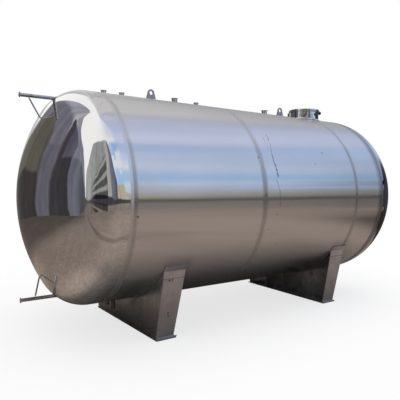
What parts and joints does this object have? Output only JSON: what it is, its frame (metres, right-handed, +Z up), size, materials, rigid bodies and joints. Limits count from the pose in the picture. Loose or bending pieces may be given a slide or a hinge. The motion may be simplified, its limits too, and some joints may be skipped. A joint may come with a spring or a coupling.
{
  "type": "horizontal storage tank",
  "caption": "Horizontal stainless steel storage tank on saddles, with dished mirror ends, hinged round manway, lifting lugs, top ferrules and gauge pipes.",
  "frame": {"origin": "on the floor, under the middle of the whole object's length, on the tank's vertical centre plane", "axes": "+X along the tank's axis away from the gauge pipes, +Y to the back (hinge side of the manway), +Z up"},
  "size_m": [4.7126, 2.09, 2.54],
  "materials": {
    "mirror_steel": "mirror polished stainless steel",
    "brushed_steel": "brushed round the shell, with ground weld bands",
    "satin_steel": "satin stainless steel",
    "saddle_steel": "mill finish plate",
    "knob_plastic": "dull black"
  },
  "bodies": {
    "tank": {"head_left": "mirror_steel", "head_right": "mirror_steel", "shell_course_1": "brushed_steel", "shell_course_2": "brushed_steel", "shell_course_3": "brushed_steel", "manway_neck": "mirror_steel", "manway_hinge_pin": "satin_steel", "manway_hinge_post": "satin_steel", "nozzle_top_1": "satin_steel", "nozzle_top_2": "satin_steel", "nozzle_top_3": "satin_steel", "nozzle_top_4": "satin_steel", "nozzle_top_5": "satin_steel", "lifting_lug_1": "satin_steel", "lifting_lug_2": "satin_steel", "lug_pad_1": "satin_steel", "lug_pad_2": "satin_steel", "gauge_pipe_top": "satin_steel", "gauge_pipe_bottom": "satin_steel", "gauge_brace_top": "satin_steel", "gauge_brace_bottom": "satin_steel", "drain_pipe": "satin_steel", "drain_small": "satin_steel", "saddle_left_base": "saddle_steel", "saddle_left_web": "saddle_steel", "saddle_left_end_front": "saddle_steel", "saddle_left_end_back": "saddle_steel", "saddle_left_rib_1": "saddle_steel", "saddle_left_rib_2": "saddle_steel", "saddle_left_rib_3": "saddle_steel", "saddle_left_pad": "satin_steel", "saddle_right_base": "saddle_steel", "saddle_right_web": "saddle_steel", "saddle_right_end_front": "saddle_steel", "saddle_right_end_back": "saddle_steel", "saddle_right_rib_1": "saddle_steel", "saddle_right_rib_2": "saddle_steel", "saddle_right_rib_3": "saddle_steel", "saddle_right_pad": "satin_steel"},
    "lid": {"manway_lid": "mirror_steel", "manway_hinge_arm": "satin_steel", "manway_latch_strap": "satin_steel", "manway_knob": "knob_plastic"}
  },
  "joints": [
    {"name": "manway_lid_hinge", "type": "hinge", "parent": "tank", "child": "lid", "pos_m": [1.41951, 0.2334, 2.485], "axis": [-0.9848, -0.1736, 0], "range_deg": [0, 105]}
  ]
}
